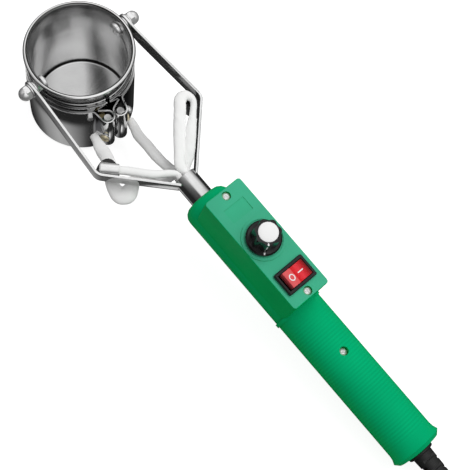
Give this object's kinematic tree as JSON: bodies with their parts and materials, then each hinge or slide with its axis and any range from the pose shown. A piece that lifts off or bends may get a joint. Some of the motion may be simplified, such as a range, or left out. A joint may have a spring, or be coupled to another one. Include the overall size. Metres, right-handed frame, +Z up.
{
  "type": "solder pot",
  "caption": "Hand-held solder pot: a steel cup with a clamped band heater, tilting in a bent yoke on a moulded handle with a dial, a rocker switch and a mains cord.",
  "frame": {"origin": "middle of the flat underside of the cup, on the bench", "axes": "+X along the handle from the cup to the cord, +Y towards the right arm of the yoke, +Z up out of the mouth of the cup"},
  "size_m": [0.5166, 0.1496, 0.0903],
  "materials": {
    "cup_steel": "satin drawn sheet",
    "band_steel": "satin sheet",
    "cover_steel": "bright sheet",
    "yoke_steel": "bright plated strip",
    "hardware_steel": "bright plated",
    "brass": "plain",
    "sleeving": "woven glass fibre",
    "green_plastic": "smooth, satin gloss",
    "black_plastic": "smooth",
    "white_plastic": "smooth",
    "red_plastic": "smooth",
    "black_rubber": "fine matt",
    "board": "resin board"
  },
  "bodies": {
    "handle": {"arm_left": "yoke_steel", "cable_tab_left": "yoke_steel", "earth_lead_left": "sleeving", "lead_left": "sleeving", "plug_pin_left": "brass", "arm_right": "yoke_steel", "cable_tab_right": "yoke_steel", "earth_lead_right": "sleeving", "lead_right": "sleeving", "plug_pin_right": "brass", "tube": "yoke_steel", "cable_clip": "hardware_steel", "handle_upper": "green_plastic", "handle_lower": "green_plastic", "face_screw_front": "hardware_steel", "face_screw_rear": "hardware_steel", "grip_screw": "hardware_steel", "potentiometer": "hardware_steel", "switch_housing": "black_plastic", "control_board": "board", "strain_relief": "black_rubber", "cord": "black_rubber", "cord_coil": "black_rubber", "cord_tail": "black_rubber", "plug_body": "black_rubber"},
    "pot": {"pot_cup": "cup_steel", "heater_sheath": "band_steel", "heater_strap": "band_steel", "heater_cover": "cover_steel", "clamp_screw": "hardware_steel", "clamp_dowel_left": "hardware_steel", "clamp_dowel_right": "hardware_steel", "terminal_plate_left": "brass", "terminal_plate_right": "brass", "terminal_screw_left": "brass", "terminal_screw_right": "brass", "terminal_lug_left": "brass", "terminal_lug_right": "brass", "pivot_screw_left": "hardware_steel", "pivot_nut_left": "hardware_steel", "pivot_washer_left": "hardware_steel", "outer_washer_left": "hardware_steel", "dome_nut_left": "hardware_steel", "pivot_screw_right": "hardware_steel", "pivot_nut_right": "hardware_steel", "pivot_washer_right": "hardware_steel", "outer_washer_right": "hardware_steel", "dome_nut_right": "hardware_steel"},
    "dial": {"dial_knob": "black_plastic", "dial_cap": "white_plastic", "dial_pointer": "white_plastic", "dial_shaft": "hardware_steel"},
    "rocker": {"switch_rocker": "red_plastic"}
  },
  "joints": [
    {"name": "pot_tilt", "type": "hinge", "parent": "handle", "child": "pot", "pos_m": [0, 0, 0.0612], "axis": [0, 1, 0], "range_deg": [-12, 12], "deforming": ["lead_left", "lead_right"]},
    {"name": "dial_turn", "type": "hinge", "parent": "handle", "child": "dial", "pos_m": [0.16432, 0, 0.0745], "axis": [0.1439, 0, 0.9896], "range_deg": [-270, 0]},
    {"name": "rocker_tilt", "type": "hinge", "parent": "handle", "child": "rocker", "pos_m": [0.19115, 0, 0.06716], "axis": [0.9896, 0, -0.1439], "range_deg": [0, 18]}
  ]
}
